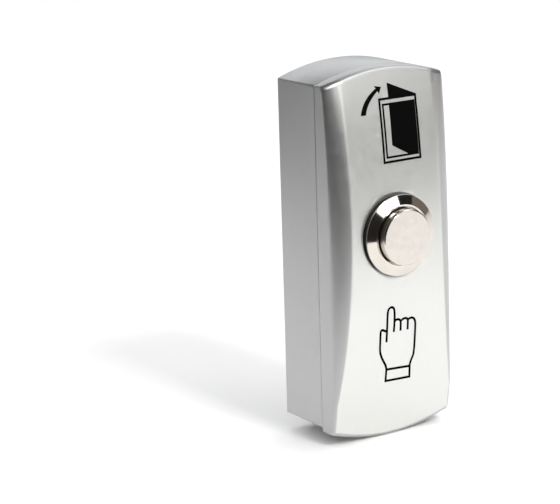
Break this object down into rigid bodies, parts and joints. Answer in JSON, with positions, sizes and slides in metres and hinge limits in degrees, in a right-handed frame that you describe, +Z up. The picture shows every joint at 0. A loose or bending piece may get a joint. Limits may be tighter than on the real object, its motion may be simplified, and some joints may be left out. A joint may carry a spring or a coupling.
{
  "type": "door release push button",
  "caption": "Slim surface-mounted door release button: a two-part metal housing with arched ends and front, and a raised round metal push button.",
  "frame": {"origin": "centre of the housing's back face, where it meets the wall", "axes": "+X to the right of someone facing the front, +Y back into the wall, so the front faces -Y, +Z up along the housing"},
  "size_m": [0.032, 0.0251, 0.083],
  "materials": {
    "satin_zinc": "satin silver lacquer over a fine-grained zinc die casting",
    "bright_nickel": "polished nickel plate with fine turning marks",
    "steel": "zinc-plated steel",
    "contact_brass": "stamped brass strip",
    "black_plastic": "moulded glass-filled nylon, and the black of the printed symbols",
    "white_plastic": "moulded acetal",
    "black_rubber": "moulded rubber"
  },
  "bodies": {
    "housing": {"back_box": "satin_zinc", "front_cover": "satin_zinc", "cover_screw": "steel", "cable_grommet": "black_rubber", "button_bezel": "bright_nickel", "panel_seal": "black_rubber", "lock_washer": "steel", "hex_nut": "bright_nickel", "switch_body": "black_plastic", "switch_base": "black_plastic", "terminal_closed": "contact_brass", "terminal_open": "contact_brass", "terminal_common": "contact_brass", "terminal_washers": "steel", "terminal_screws": "steel", "return_spring": "steel", "contact_spring": "steel"},
    "button": {"button_cap": "bright_nickel", "plunger": "white_plastic", "stem_seal": "black_rubber", "retaining_clip": "steel", "contact_disc": "contact_brass"}
  },
  "joints": [
    {"name": "button_press", "type": "slide", "parent": "housing", "child": "button", "axis": [0, 1, 0], "range_m": [0, 0.0015], "stiffness_N_per_m": 1200, "springref_m": -0.0015, "deforming": ["return_spring", "contact_spring"]}
  ]
}
